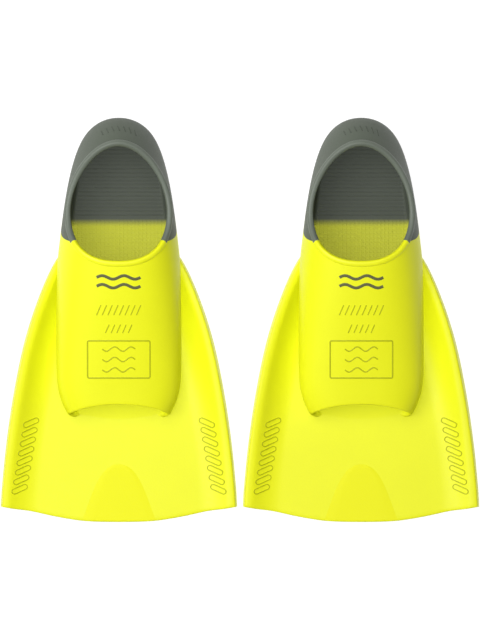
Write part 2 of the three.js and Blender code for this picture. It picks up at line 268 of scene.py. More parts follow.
def heel_back_along(height):
    foot = HEEL_FOOT_ALONG * clamp01((WIDE_LEVEL - height) / WIDE_LEVEL) ** TUCK_POWER
    lean = clamp01((height - WIDE_LEVEL) / (HEEL_RIM_HEIGHT - WIDE_LEVEL)) ** HEEL_LEAN_POWER
    return np.where(height < WIDE_LEVEL, foot, HEEL_RIM_ALONG * lean)


def heel_surface(around, level):
    """The heel's outer wall: around is -1 and 1 at the seam and 0 at the back; level 1 is the rim."""
    around, level = np.broadcast_arrays(np.asarray(around, float), np.asarray(level, float))
    end_height = RIM_CORNER_HEIGHT * level
    end_along = seam_along(end_height)
    end_across = wall_across(end_along, end_height)
    rise = RIM_RISE * level * level
    widening = end_across - wall_across(end_along - 1, np.maximum(end_height - rise, 0))
    start = points_of(0.0, heel_back_along(HEEL_RIM_HEIGHT * level), HEEL_RIM_HEIGHT * level)
    end = points_of(end_across, end_along, end_height)
    start_reach = lerp(HEEL_START_REACH[0], HEEL_START_REACH[1], level * level)
    end_reach = lerp(HEEL_END_REACH[0], HEEL_END_REACH[1], level)
    leaving = start + points_of(start_reach, 0.0, 0.0)
    arriving = end + points_of(-widening, -1.0, -rise) * end_reach[..., None]
    t = np.abs(around)[..., None]
    point = (
        (1 - t) ** 3 * start + 3 * t * (1 - t) ** 2 * leaving
        + 3 * t * t * (1 - t) * arriving + t ** 3 * end
    )
    point[..., 0] *= np.sign(around)
    return point


def unit(vectors):
    return vectors / np.linalg.norm(vectors, axis=-1, keepdims=True)


def grid_normals(grid, outside):
    """Normals of a grid of points, on the side of the given point."""
    normals = unit(np.cross(np.gradient(grid, axis=0), np.gradient(grid, axis=1)))
    middle = grid[grid.shape[0] // 2, grid.shape[1] // 2]
    facing = normals[grid.shape[0] // 2, grid.shape[1] // 2] @ (np.array(outside) - middle)
    return normals if facing > 0 else -normals


def surface_normals(surface, across, along):
    """Upward normals of a surface over the plan."""
    step = 0.05
    one = surface(across + step, along) - surface(across - step, along)
    two = surface(across, along + step) - surface(across, along - step)
    normals = unit(np.cross(one, two))
    return normals * np.sign(normals[..., 2:3])


# ---- Meshes ----

def fin_centre(side):
    low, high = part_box(f"{side}_sole")
    return (low.x + high.x) / 2


def heel_back():
    """Y of the back of the heels in the row frame: the fins are centred on the origin."""
    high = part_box("left_heel_cup")[1].y
    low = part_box("left_blade")[0].y
    return (high + low) / 2 + FIN_LENGTH * MM / 2


HEEL_BACK = heel_back()


def place_fin(points, side):
    placed = np.array(points, float).reshape(-1, 3) * MM
    placed[:, 0] += fin_centre(side)
    placed[:, 1] = HEEL_BACK - placed[:, 1]
    return placed


class Body:
    """Points and faces of one piece, gathered in fin coordinates."""

    def __init__(self):
        self.points = []
        self.faces = []
        self.inside = range(0)  # numbers of the faces on the inner side
        self.count = 0

    def add_points(self, points):
        flat = np.asarray(points, float).reshape(-1, 3)
        self.points.append(flat)
        numbers = np.arange(self.count, self.count + len(flat))
        self.count += len(flat)
        return numbers.reshape(np.asarray(points).shape[:-1])

    def face(self, numbers):
        self.faces.append(tuple(int(number) for number in numbers))

    def strip(self, one, two):
        for a, b, c, d in zip(one[:-1], one[1:], two[1:], two[:-1]):
            self.face((a, b, c, d))

    def sheet(self, numbers):
        for one, two in zip(numbers[:-1], numbers[1:]):
            self.strip(one, two)

    def tube(self, rings):
        """A tube of closed rings, with its two ends left open."""
        numbers = self.add_points(rings)
        self.sheet(np.concatenate([numbers, numbers[:, :1]], axis=1))
        return numbers

    def shell(self, outer, inner, last_column_meets=False):
        """A closed body between two grids of points, joined along its edges.

        Where the last column meets itself, as under the heel's centre line, it needs no joining.
        """
        one, two = self.add_points(outer), self.add_points(inner)
        self.sheet(one)
        start = len(self.faces)
        self.sheet(two)
        self.inside = range(start, len(self.faces))
        edges = [(one[0], two[0]), (one[-1], two[-1]), (one[:, 0], two[:, 0])]
        if not last_column_meets:
            edges.append((one[:, -1], two[:, -1]))
        for edge_one, edge_two in edges:
            self.strip(edge_one, edge_two)

    def ribbon(self, surface, path, width, height, closed=False, sink=0.4):
        """A raised line along a path in plan, lying on a surface."""
        path = np.asarray(path, float)
        if closed:
            direction = np.roll(path, -1, axis=0) - np.roll(path, 1, axis=0)
        else:
            direction = np.gradient(path, axis=0)
        beside = unit(direction[:, ::-1] * (-1, 1))
        profile = ((-0.5, -sink), (-0.4, 0.7), (-0.22, 1), (0.22, 1), (0.4, 0.7), (0.5, -sink))
        ring = []
        for offset, lift in profile:
            place = path + beside * offset * width
            rise = lift * height if lift > 0 else lift
            normals = surface_normals(surface, place[:, 0], place[:, 1])
            ring.append(surface(place[:, 0], place[:, 1]) + normals * rise)
        numbers = self.tube(np.stack(ring, axis=1))
        if closed:
            last, first = numbers[-1], numbers[0]
            self.strip(np.append(last, last[0]), np.append(first, first[0]))
        else:
            self.face(numbers[0])
            self.face(numbers[-1])

    def object(self, name, side, material, slot, sharp_angle=38, shaded_inside_material=None):
        mesh = bpy.data.meshes.new(f"{side}_{name}")
        mesh.from_pydata(place_fin(np.concatenate(self.points), side).tolist(), [], self.faces)
        # faces on the inner side take the second material, a darker colour that is painted shade inside
        # the shell
        if shaded_inside_material:
            for number in self.inside:
                mesh.polygons[number].material_index = 1
        work = bmesh.new()
        work.from_mesh(mesh)
        bmesh.ops.remove_doubles(work, verts=work.verts, dist=2e-6)
        bmesh.ops.dissolve_degenerate(work, edges=work.edges, dist=1e-6)
        bmesh.ops.recalc_face_normals(work, faces=work.faces)
        work.to_mesh(mesh)
        work.free()
        mesh.polygons.foreach_set("use_smooth", [True] * len(mesh.polygons))
        mesh.set_sharp_from_angle(angle=math.radians(sharp_angle))
        mesh.materials.append(material)
        if shaded_inside_material:
            mesh.materials.append(shaded_inside_material)
        piece = bpy.data.objects.new(f"{side}_{name}", mesh)
        bpy.context.scene.collection.objects.link(piece)
        return piece


# ---- Foot pocket and heel cup ----

def pocket_columns():
    """Lengthwise lines of half the pocket, from the floor to the centre: turn and back edge."""
    seam_turns = turn_at(seam_along(SEAM_HEIGHTS), SEAM_HEIGHTS)
    corner = (SEAM_RIM_ALONG - RIM_WIDE_ALONG) / (RIM_FRONT_ALONG - RIM_WIDE_ALONG)
    angles = evenly(26, math.asin(corner ** (RIM_POWER / 2)), math.pi / 2)[1:]
    forward = np.sin(angles) ** (2 / RIM_POWER)
    rim_alongs = RIM_WIDE_ALONG + (RIM_FRONT_ALONG - RIM_WIDE_ALONG) * forward
    rim_heights = instep_height(rim_across(rim_alongs), rim_alongs)
    rim_turns = turn_at(rim_alongs, rim_heights)
    rim_turns[-1] = 1.0
    turns = np.concatenate([seam_turns, rim_turns])
    backs = np.concatenate([seam_along(SEAM_HEIGHTS), rim_alongs])
    return turns, backs


LIP_ROWS = WALL / 2 * (1 - np.cos(np.radians(evenly(5, 75, 0))))  # round edge of the toe lip


def pocket_grid():
    """Outer surface of the pocket in rows from the back to the toes, and how far the lip is."""
    turns, backs = pocket_columns()
    fronts = pocket_front(turns)
    first_round = WALL / 2
    steps = evenly(44)[:, None]
    rows = lerp(backs, fronts - first_round, steps)
    alongs = np.concatenate([rows, fronts - LIP_ROWS[:, None]])
    distances = fronts - alongs
    across, heights = section_point(alongs, np.broadcast_to(turns, alongs.shape))
    half = points_of(across, alongs, heights)
    other = half[:, -2::-1] * (-1, 1, 1)
    points = np.concatenate([half, other], axis=1)
    return points, np.concatenate([distances, distances[:, -2::-1]], axis=1)


AROUND = evenly(72, -1, 1)
HEEL_LEVELS = SEAM_HEIGHTS[::-1] / RIM_CORNER_HEIGHT


def shell_surfaces():
    """The outer grids and normals of the pocket and the heel, agreeing along their seam."""
    pocket, lip_distances = pocket_grid()
    pocket_out = grid_normals(pocket, (0, 200, 500))
    heel = heel_surface(AROUND[:, None], HEEL_LEVELS[None, :])
    heel_out = grid_normals(heel, (0, -500, 30))
    count = len(SEAM_HEIGHTS)
    for column, row in ((-1, slice(0, count)), (0, slice(-1, -count - 1, -1))):
        shared = unit(pocket_out[0, row] + heel_out[column, ::-1])
        pocket_out[0, row] = shared
        heel_out[column, ::-1] = shared
    return pocket, pocket_out, lip_distances, heel, heel_out


POCKET, POCKET_OUT, LIP_DISTANCES, HEEL, HEEL_OUT = shell_surfaces()


def level_direction(normals):
    """Normals turned level with the floor."""
    flat = normals * (1, 1, 0)
    return unit(flat)


def filleted(inner, normals):
    """The inner wall, drawn in near the floor to meet it in a round."""
    inset = round_inset(inner[..., 2] - PLATE, FLOOR_FILLET)
    return inner - level_direction(normals + 1e-9) * inset[..., None]


def pocket_shell(side):
    body = Body()
    half = WALL / 2
    left = half - np.clip(LIP_DISTANCES, 0, half)
    thickness = np.sqrt(half * half - left * left)[..., None]
    outer = POCKET - POCKET_OUT * (half - thickness)
    inner = filleted(POCKET - POCKET_OUT * (half + thickness), POCKET_OUT)
    body.shell(outer, inner)
    # the pocket's inner faces take the darker yellow of painted shade
    return body.object("foot_pocket_shell", side, YELLOW, "yellow_silicone", 50, YELLOW_INSIDE_PAINTED_SHADE)


def heel_profiles():
    """Outer and inner profile of the heel all round, from the rim to the middle of its floor."""
    wall_count = int(np.sum(SEAM_HEIGHTS >= PLATE - 1e-6))
    outer_wall = HEEL.copy()
    inset = round_inset(HEEL[..., 2], FOOT_ROUND)
    outer_wall -= level_direction(HEEL_OUT) * inset[..., None]
    outer_wall[:, -1, 2] = 0
    inner_wall = filleted(HEEL - HEEL_OUT * WALL, HEEL_OUT)[:, :wall_count]
    inner_wall[..., 2] = np.maximum(inner_wall[..., 2], PLATE)
    inward = -level_direction(HEEL_OUT[:, wall_count - 1])
    foot = inner_wall[:, -1]
    drop = foot[:, 2] - PLATE
    run = FLOOR_FILLET - round_inset(drop, FLOOR_FILLET)
    corner_count = HEEL.shape[1] - wall_count
    corner = []
    for share in evenly(corner_count)[1:]:
        height = PLATE + drop * (1 - share) ** 2
        point = foot + inward * (run * share)[:, None]
        point[:, 2] = height
        corner.append(point)
    inner = np.concatenate([inner_wall, np.stack(corner, axis=1)], axis=1)
    inner[..., 1] = np.minimum(inner[..., 1], seam_along(inner[..., 2]))
    centre_along = lerp(HEEL_FLOOR_START, SEAM_FLOOR_ALONG, AROUND ** 2)
    shares = evenly(5)[1:]
    under = [lerp(outer_wall[:, -1], points_of(0.0, centre_along, 0.0), s) for s in shares]
    floor = [lerp(inner[:, -1], points_of(0.0, centre_along, PLATE), s) for s in shares]
    outer = np.concatenate([outer_wall, np.stack(under, axis=1)], axis=1)
    return outer, np.concatenate([inner, np.stack(floor, axis=1)], axis=1)


def heel_shell(side):
    body = Body()
    body.shell(*heel_profiles(), last_column_meets=True)
    # the heel's inner faces take the darker grey of painted shade
    return body.object("heel_cup_shell", side, GREY, "grey_silicone", 50, GREY_INSIDE_PAINTED_SHADE)


def rim_loop():
    """Edge of the foot opening, once round from the left seam.

    Gives each point, its outward normal and its direction down the wall, and the heel's count.
    """
    heel_part = (HEEL[:, 0], HEEL_OUT[:, 0], HEEL[:, 1] - HEEL[:, 0])
    count = len(SEAM_HEIGHTS)
    front = slice(count, POCKET.shape[1] - count)
    pocket_part = (POCKET[0, front], POCKET_OUT[0, front], POCKET[1, front] - POCKET[0, front])
    # the heel runs from left to right round the back, and the pocket's columns from right to left
    points, normals, downs = (np.concatenate(pair) for pair in zip(heel_part, pocket_part))
    tangents = unit(np.roll(points, -1, axis=0) - np.roll(points, 1, axis=0))
    down = np.cross(tangents, normals)
    down *= np.sign(np.sum(down * downs, axis=1, keepdims=True))
    return points, normals, unit(down), len(HEEL)


def squared(x):
    """Turns a circle's cosine or sine into that of a squarer section, with flatter sides."""
    return np.sign(x) * np.abs(x) ** BEAD_SQUARENESS


def rim_bead(side, name, material, slot, of_heel):
    points, normals, down, heel_count = rim_loop()
    centres = points - normals * WALL / 2 + down * BEAD_DROP
    if of_heel:
        chosen = np.arange(heel_count)
    else:
        chosen = np.append(np.arange(heel_count - 1, len(points)), 0)
    angles = np.radians(evenly(BEAD_FACETS, 0, 360)[:-1])[None, :, None]
    outward, downward = squared(np.cos(angles)), squared(np.sin(angles))
    rings = (
        centres[chosen, None] + normals[chosen, None] * outward * BEAD_RADIUS
        + down[chosen, None] * downward * BEAD_RADIUS
    )
    body = Body()
    numbers = body.tube(rings)
    for end in (0, -1):
        body.face(numbers[end])
    return body.object(name, side, material, slot)


# ---- Sole and blade ----

def plate_edge(along):
    return floor_half_width(along) - edge_draft(along)


def plate_top(across, along):
    """Height of the sole and blade beside or in front of the pocket."""
    rail = np.maximum(rail_height(along), PLATE)
    inward = plate_edge(along) - RAIL_BAND - np.abs(across)
    inward = (inward + np.sqrt(inward ** 2 + RAIL_SOFTNESS ** 2)) / 2
    return lerp(PLATE, rail, clamp01(1 - inward / RAIL_SLOPE) ** RAIL_SLOPE_POWER)


def swept(across, along):
    """The end of the blade bends to follow the trailing edge."""
    sweep = smoothstep(along, SWEEP_START, BLADE_CORNER_ALONG)
    return along + sweep * (trailing_edge(np.abs(across)) - BLADE_CORNER_ALONG)


def blade_surface(across, along):
    """Top of the blade over the true plan, for what lies on it. The tip's sweep is small there."""
    return points_of(across, along, plate_top(across, along))


def plate_top_line(along):
    """Half of a row's top from the centre out, and where its slope and its flat band start."""
    limit = plate_edge(along) - EDGE_ROUND - EDGE_CLEARANCE
    rail = max(float(rail_height(along)), PLATE)

    def wall(height):
        """The plate's surface climbs inside the pocket's wall, halfway through its thickness."""
        return float(wall_across(along, height)) - WALL / 2

    foot = min(wall(PLATE), limit)
    crease = min(max(wall(float(plate_top(wall(rail) + WALL, along))), foot), limit)
    crease_height = float(plate_top(crease, along)) if along < POCKET_END else PLATE
    band = min(max(plate_edge(along) - RAIL_BAND, crease), limit)
    slope = max(crease, band - RAIL_SLOPE)
    floor_part = lerp(0.0, foot, evenly(16))
    climb = [crease_height * t + PLATE * (1 - t) for t in (0.25, 0.5, 0.75)]
    climb_part = [min(max(wall(height), foot), crease) for height in climb]
    outer_part = np.concatenate([
        lerp(crease, slope, evenly(3)),
        lerp(slope, band, evenly(14))[1:],
        lerp(band, plate_edge(along) - EDGE_ROUND, evenly(3))[1:],
    ])
    across = np.concatenate([floor_part, climb_part, outer_part])
    height = np.concatenate([
        np.full(len(floor_part), PLATE), climb, plate_top(outer_part, along),
    ])
    return across, height, slope, band


def rail_hollow(along, across, height, slope, band):
    """Height of the underside, which is hollow under the slopes of the rails."""
    crosswise = clamp01((band - across) / max(band - slope, 1.0))
    crosswise = np.where(across < slope, 1.0, crosswise)
    start, end = HOLLOW_ALONG
    fade = smoothstep(along, start, start + HOLLOW_FADE)
    fade = fade * (1 - smoothstep(along, end - HOLLOW_FADE, end))
    hollow = HOLLOW_SHARE * fade * np.sin(math.pi * crosswise) * (height - PLATE)
    return np.maximum(hollow, 0)


def plate_profile(along):
    """Half of one crosswise row: its top, its rounded edge, and its underside."""
    edge, floor_edge = plate_edge(along), floor_half_width(along)
    across, height, slope, band = plate_top_line(along)
    top = points_of(across, along, height)
    narrowing = (floor_edge - FOOT_ROUND) / (edge - EDGE_ROUND)
    hollow = rail_hollow(along, across, height, slope, band)
    bottom = points_of(across * narrowing, along, hollow)
    turn = np.radians([30, 60, 90])
    upper = points_of(
        edge - EDGE_ROUND * (1 - np.sin(turn)), along, height[-1] - EDGE_ROUND * (1 - np.cos(turn)),
    )
    back = turn[::-1]
    lower = points_of(
        floor_edge - FOOT_ROUND * (1 - np.sin(back)), along, FOOT_ROUND * (1 - np.cos(back)),
    )
    return top, np.concatenate([upper, lower]), bottom


def plate_rows():
    """Places of the rows along the fin, closest where the rails rise and at the round tip."""
    tip = EDGE_ROUND * (1 - np.cos(np.radians([60, 40, 20, 0])))
    rise_start, rise_end = 118, 138
    return np.concatenate([
        evenly(6, SEAM_FLOOR_ALONG, rise_start),
        evenly(16, rise_start, rise_end)[1:],
        evenly(32, rise_end, POCKET_END)[1:],
        evenly(34, POCKET_END, BLADE_CORNER_ALONG - EDGE_ROUND)[1:],
        BLADE_CORNER_ALONG - tip,
    ])


def fin_plate(side):
    """Sole and blade in one, as the real moulding is."""
    body = Body()
    rings = []
    for along in plate_rows():
        top, edge_points, bottom = plate_profile(along)
        ring = np.concatenate([top, edge_points, bottom[::-1]])
        ring[:, 1] = swept(ring[:, 0], ring[:, 1])
        inset = float(round_inset(BLADE_CORNER_ALONG - along, EDGE_ROUND))
        ring[:len(top), 2] -= inset
        ring[-len(bottom):, 2] += inset
        rings.append(ring)
    half = np.stack(rings)
    # the other half runs back from the underside's centre to the top's centre
    other = half[:, ::-1] * (-1, 1, 1)
    numbers = body.add_points(np.concatenate([half, other], axis=1))
    body.sheet(np.concatenate([numbers, numbers[:, :1]], axis=1))
    middle = half.shape[1]
    count, edge_count = len(top), len(edge_points)
    for row in (numbers[0], numbers[-1]):
        for run in (row[:middle], row[middle:][::-1]):
            upper, between, under = run[:count], run[count:count + edge_count], run[:-count - 1:-1]
            body.strip(upper, under)
            body.face([upper[-1], *between, under[-1]])
    return body.object("sole_and_blade", side, YELLOW, "yellow_silicone", 50)


def blade_tongue(side):
    """The thin smooth panel in the middle of the blade."""
    alongs = lerp(TONGUE_ALONG, BLADE_CORNER_ALONG - EDGE_ROUND, evenly(24) ** 2)[:, None]
    shares = np.sin(evenly(32, -1, 1) * math.pi / 2)[None, :]
    run = (alongs - TONGUE_ALONG) / (BLADE_CORNER_ALONG - TONGUE_ALONG)
    across = TONGUE_HALF_WIDTH * np.sqrt(run) * shares
    place = np.broadcast_to(swept(across, alongs), across.shape)
    lift = TONGUE_HEIGHT * np.minimum(1, 4 * (1 - np.abs(shares))) * np.minimum(1, 12 * run)
    upper = points_of(across, place, PLATE + lift)
    lower = points_of(across, place, PLATE - TONGUE_HEIGHT)
    body = Body()
    body.shell(upper, lower)
    return body.object("blade_tongue", side, YELLOW_TONGUE, "yellow_silicone")


# ---- Raised and printed details ----

def instep_surface(across, along):
    return points_of(across, along, instep_height(across, along))


def line(start, end, count=8):
    return lerp(np.array(start, float), np.array(end, float), evenly(count)[:, None])


def wave(centre, length, height, waves, count=48):
    t = evenly(count)
    return np.stack([
        centre[0] + (t - 0.5) * length,
        centre[1] + height * np.sin(2 * math.pi * waves * t),
    ], axis=1)


def rounded_box(centre, width, length, radius, per_side=14, per_corner=5):
    """A closed path round a rectangle with rounded corners."""
    path = []
    x, y = width / 2 - radius, length / 2 - radius
    corners = [(x, y), (-x, y), (-x, -y), (x, -y)]
    for turn, corner in enumerate(corners):
        angles = np.radians(evenly(per_corner, 90 * turn, 90 * turn + 90))
        for angle in angles:
            path.append((corner[0] + radius * math.cos(angle), corner[1] + radius * math.sin(angle)))
        out = np.array([math.cos(angles[-1]), math.sin(angles[-1])])
        start = np.array(path[-1])
        end = np.array(corners[(turn + 1) % 4]) + out * radius
        path.extend(tuple(start + (end - start) * t) for t in evenly(per_side)[1:-1])
    return np.array(path) + np.array(centre)


def capsule(centre, length, width, angle_deg, count=8):
    """A closed path round a slim bar with round ends, turned in plan."""
    radius = width / 2
    reach = length / 2 - radius
    path = []
    for turn, offset in ((-90, reach), (90, -reach)):
        for angle in np.radians(evenly(count, turn, turn + 180)):
            path.append((offset + radius * math.cos(angle), radius * math.sin(angle)))
    angle = math.radians(angle_deg)
    turning = np.array([
        [math.cos(angle), math.sin(angle)],
        [-math.sin(angle), math.cos(angle)],
    ])
    return np.array(path) @ turning + np.array(centre)


PANEL_ALONG = 221.0
PANEL_SIZE = (57.0, 34.0)
PANEL_CORNER = 1.5
RAISED = 0.6  # height of the raised lines
LINE_WIDTH = 1.1
BAR_PITCH = 5.2
BAR_ROWS = ((176.0, 8, 9.0), (193.0, 5, 7.5))  # place along the fin, count, and length of a bar
BAR_SLANT = 0.22  # how far a bar leans, as a share of its length
PANEL_WAVES = (-9.5, 0, 9.5)
HEEL_BARS = 7
HEEL_BAR_HEIGHTS = (46.5, 53.0)
GRIP_COUNT = 8
GRIP_START = 279.0
GRIP_PITCH = 8.7
GRIP_ACROSS = (80.5, 91.0)
GRIP_SIZE = (15.0, 4.6)
GRIP_ANGLE = 24
PRINT_WAVE_LENGTH = 40
PRINT_BAND_WIDTH = 3.0
PRINT_THICKNESS = 0.18
HEEL_BACK_SPREAD = 96.0  # width of the heel that one unit of "around" covers at the back


def instep_relief(side):
    """Generic moulded lines on the instep: slanted bars, and a framed panel with waves, in a darker
    yellow that is painted shade along the lines.
    """
    body = Body()
    for along, count, length in BAR_ROWS:
        slant = length * BAR_SLANT
        for i in range(count):
            across = (i - (count - 1) / 2) * BAR_PITCH
            path = line((across - slant, along + length / 2), (across + slant, along - length / 2), 6)
            body.ribbon(instep_surface, path, LINE_WIDTH, RAISED)
    frame_path = rounded_box((0, PANEL_ALONG), *PANEL_SIZE, PANEL_CORNER)
    body.ribbon(instep_surface, frame_path, 1.5, RAISED, closed=True)
    for offset in PANEL_WAVES:
        body.ribbon(instep_surface, wave((0, PANEL_ALONG + offset), 30, 2.0, 2), 1.3, RAISED)
    return body.object("instep_relief", side, YELLOW_LINES_PAINTED_SHADE, "yellow_silicone")


def heel_back_surface(across, height):
    """The heel's outer wall over its width and height, near the back."""
    return heel_surface(across / HEEL_BACK_SPREAD, height / HEEL_RIM_HEIGHT)


def heel_relief(side):
    """Generic moulded bars on the slope above the back of the heel, in a darker grey that is painted
    shade along the bars.
    """
    body = Body()
    low, high = HEEL_BAR_HEIGHTS
    for i in range(HEEL_BARS):
        across = (i - HEEL_BARS // 2) * BAR_PITCH
        path = line((across - 1, low), (across + 1, high), 6)
        body.ribbon(heel_back_surface, path, LINE_WIDTH, 0.35)
    return body.object("heel_relief", side, GREY_LINES_PAINTED_SHADE, "grey_silicone")


def rail_relief(side):
    """Grip marks along both rails: a row of slanted bars in outline, in a darker yellow that is painted
    shade along the lines.
    """
    body = Body()
    for mirror in (-1, 1):
        for i in range(GRIP_COUNT):
            along = GRIP_START + i * GRIP_PITCH
            across = lerp(*GRIP_ACROSS, i / (GRIP_COUNT - 1))
            path = capsule((mirror * across, along), *GRIP_SIZE, mirror * GRIP_ANGLE)
            body.ribbon(blade_surface, path, 0.95, RAISED, closed=True)
    return body.object("rail_relief", side, YELLOW_LINES_PAINTED_SHADE, "yellow_silicone")


def print_wave(side, name, along):
    body = Body()
    path = wave((0, along), PRINT_WAVE_LENGTH, -1.6, 2, 64)
    body.ribbon(instep_surface, path, PRINT_BAND_WIDTH, PRINT_THICKNESS, sink=0.1)
    return body.object(name, side, PRINT, "grey_print")


# ---- Inner sole texture ----

def floor_reach():
    """Half width of the flat floor inside the heel and pocket, as arrays over along."""
    _, inner = heel_profiles()
    wall_end = HEEL.shape[1] - 1
    side_points = inner[len(AROUND) // 2:, wall_end]
    order = np.argsort(side_points[:, 1])
    heel_along, heel_across = side_points[order, 1], side_points[order, 0]
    pocket_along = evenly(60, SEAM_FLOOR_ALONG + 1, TOE_FOOT_ALONG)
    foot = wall_across(pocket_along, PLATE + 1.0) - WALL - FLOOR_FILLET
    return np.concatenate([heel_along, pocket_along]), np.concatenate([heel_across, foot])


FLOOR_ALONG, FLOOR_ACROSS = floor_reach()
HEEL_FLOOR_BACK = float(FLOOR_ALONG[0]) + 1
RIB_PITCH = 3.5
RIB_WIDTH = RIB_PITCH * 0.45
RIB_HEIGHT = 0.5
INSOLE_THICKNESS = 0.25
INSOLE_END_HALF_WIDTH = 38.0
INSOLE_END_BEND = 5.0  # its front edge curves back by this much at its corners
INSOLE_BEND_START = 240.0
GRID_HALF_WIDTH = 42.0  # the lengthwise ribs reach this far from the centre


def floor_surface(across, along):
    return points_of(across, along, np.full(np.shape(across), PLATE + INSOLE_THICKNESS))


def insole(side, name, material, slot, start, end, across_lines):
    """A thin lining on the floor: fine ribs across it, and lengthwise ones at the given places."""
    body = Body()
    alongs = np.append(np.arange(start, end, 4.0), end)[:, None]
    reach = np.interp(alongs, FLOOR_ALONG, FLOOR_ACROSS)
    climb = FLOOR_FILLET * 0.9 * evenly(5)[1:]  # its edges run up the round at the foot of the walls
    flat = reach * evenly(20, -1, 1)
    across = np.concatenate([-reach - climb[::-1], flat, reach + climb], axis=1)
    rise = round_inset(FLOOR_FILLET - np.maximum(np.abs(across) - reach, 0), FLOOR_FILLET)
    near_end = smoothstep(alongs, INSOLE_BEND_START, TOE_FOOT_ALONG)
    bend = INSOLE_END_BEND * (across / INSOLE_END_HALF_WIDTH) ** 2 * near_end
    upper = points_of(across, alongs - bend, PLATE + INSOLE_THICKNESS + rise)
    body.shell(upper, upper - (0, 0, 2 * INSOLE_THICKNESS))
    ribs_end = min(end, TOE_LIP_ALONG) - RIB_PITCH
    for along in np.arange(start + RIB_PITCH, ribs_end, RIB_PITCH):
        reach = float(np.interp(along, FLOOR_ALONG, FLOOR_ACROSS)) + 1.0
        body.ribbon(floor_surface, line((-reach, along), (reach, along), 4), RIB_WIDTH, RIB_HEIGHT)
    for across in across_lines:
        alongs = np.arange(start + 1.0, ribs_end, 1.0)
        inside = alongs[np.interp(alongs, FLOOR_ALONG, FLOOR_ACROSS) + 1.0 > abs(across)]
        path = line((across, inside[0]), (across, inside[-1]), 4)
        body.ribbon(floor_surface, path, RIB_WIDTH, RIB_HEIGHT * 0.9)
    return body.object(name, side, material, slot)


# ---- Materials ----

def noise(tree, scale, detail):
    """Procedural noise over the object's own place, so that it moves with the piece."""
    place = tree.nodes.new("ShaderNodeTexCoord")
    node = tree.nodes.new("ShaderNodeTexNoise")
    node.inputs["Scale"].default_value = scale
    node.inputs["Detail"].default_value = detail
    node.inputs["Roughness"].default_value = 0.6
    tree.links.new(place.outputs["Object"], node.inputs["Vector"])
    return node


def clouded_colour(tree, base, variation, clouds, specks):
    """A tone that drifts a little lighter and darker over the surface."""
    blend = tree.nodes.new("ShaderNodeMix")
    blend.data_type = "FLOAT"
    blend.inputs["Factor"].default_value = 0.45
    tree.links.new(clouds.outputs["Fac"], blend.inputs["A"])
    tree.links.new(specks.outputs["Fac"], blend.inputs["B"])
    ramp = tree.nodes.new("ShaderNodeValToRGB")
    dark, light = ramp.color_ramp.elements
    dark.position, light.position = 0.3, 0.7
    dark.color = [*(c * (1 - variation) for c in base), 1]
    light.color = [*(min(c * (1 + variation), 1) for c in base), 1]
    tree.links.new(blend.outputs["Result"], ramp.inputs["Fac"])
    return ramp.outputs["Color"]


def colour_along(tree, tones):
    """A tone that changes along the fin, through (along, colour) pairs."""
    place = tree.nodes.new("ShaderNodeTexCoord")
    parts = tree.nodes.new("ShaderNodeSeparateXYZ")
    tree.links.new(place.outputs["Object"], parts.inputs["Vector"])
    share = tree.nodes.new("ShaderNodeMapRange")
    share.inputs["From Min"].default_value = HEEL_BACK
    share.inputs["From Max"].default_value = HEEL_BACK - FIN_LENGTH * MM
    tree.links.new(parts.outputs["Y"], share.inputs["Value"])
    ramp = tree.nodes.new("ShaderNodeValToRGB")
    stops = ramp.color_ramp.elements
    while len(stops) < len(tones):
        stops.new(1.0)
    for stop, (along, colour) in zip(stops, tones):
        stop.position = along / FIN_LENGTH
        stop.color = [*colour, 1]
    tree.links.new(share.outputs["Result"], ramp.inputs["Fac"])
    return ramp.outputs["Color"]


def matt_grain(tree, shader, specks, roughness, grain):
    """Fine grain, in the roughness and as a bump."""
    rough = tree.nodes.new("ShaderNodeMapRange")
    rough.inputs["From Min"].default_value = 0.3
    rough.inputs["From Max"].default_value = 0.7
    rough.inputs["To Min"].default_value = roughness - 0.06
    rough.inputs["To Max"].default_value = roughness + 0.08
    tree.links.new(specks.outputs["Fac"], rough.inputs["Value"])
    tree.links.new(rough.outputs["Result"], shader.inputs["Roughness"])
    bump = tree.nodes.new("ShaderNodeBump")
    bump.inputs["Strength"].default_value = grain
    bump.inputs["Distance"].default_value = 0.00012
    tree.links.new(specks.outputs["Fac"], bump.inputs["Height"])
    tree.links.new(bump.outputs["Normal"], shader.inputs["Normal"])


def silicone(name, base, roughness, grain, variation, tones_along=()):
    """Moulded silicone: a fine matt grain, slow changes of tone, and a soft gloss."""
    material = bpy.data.materials.new(name)
    material.use_nodes = True
    tree = material.node_tree
    shader = tree.nodes["Principled BSDF"]
    shader.inputs["IOR"].default_value = 1.41
    shader.inputs["Specular IOR Level"].default_value = 0.4
    specks = noise(tree, 620, 2)
    if tones_along:
        colour = colour_along(tree, tones_along)
    else:
        colour = clouded_colour(tree, base, variation, noise(tree, 28, 3), specks)
    tree.links.new(colour, shader.inputs["Base Color"])
    matt_grain(tree, shader, specks, roughness, grain)
    return material


GREY_TONE = (0.090, 0.107, 0.080)
# darker grey for the heel's inner walls and insole: painted shade inside the heel cup
GREY_INSIDE_SHADE_TONE = (0.062, 0.072, 0.056)
YELLOW_TONE = (0.80, 0.825, 0.009)
# darker yellow inside the pocket: painted shade under the instep
YELLOW_INSIDE_SHADE_TONE = (0.47, 0.485, 0.030)

YELLOW = silicone("yellow_silicone", YELLOW_TONE, 0.45, 0.35, 0.02)
# darker yellow on the raised lines: painted shade standing in for the shade along their edges
YELLOW_LINES_PAINTED_SHADE = silicone("yellow_silicone_lines_painted_shade", (0.44, 0.46, 0.003), 0.52, 0.35, 0.02)
YELLOW_TONGUE = silicone("yellow_silicone_tongue", (0.80, 0.80, 0.003), 0.62, 0.2, 0.01)
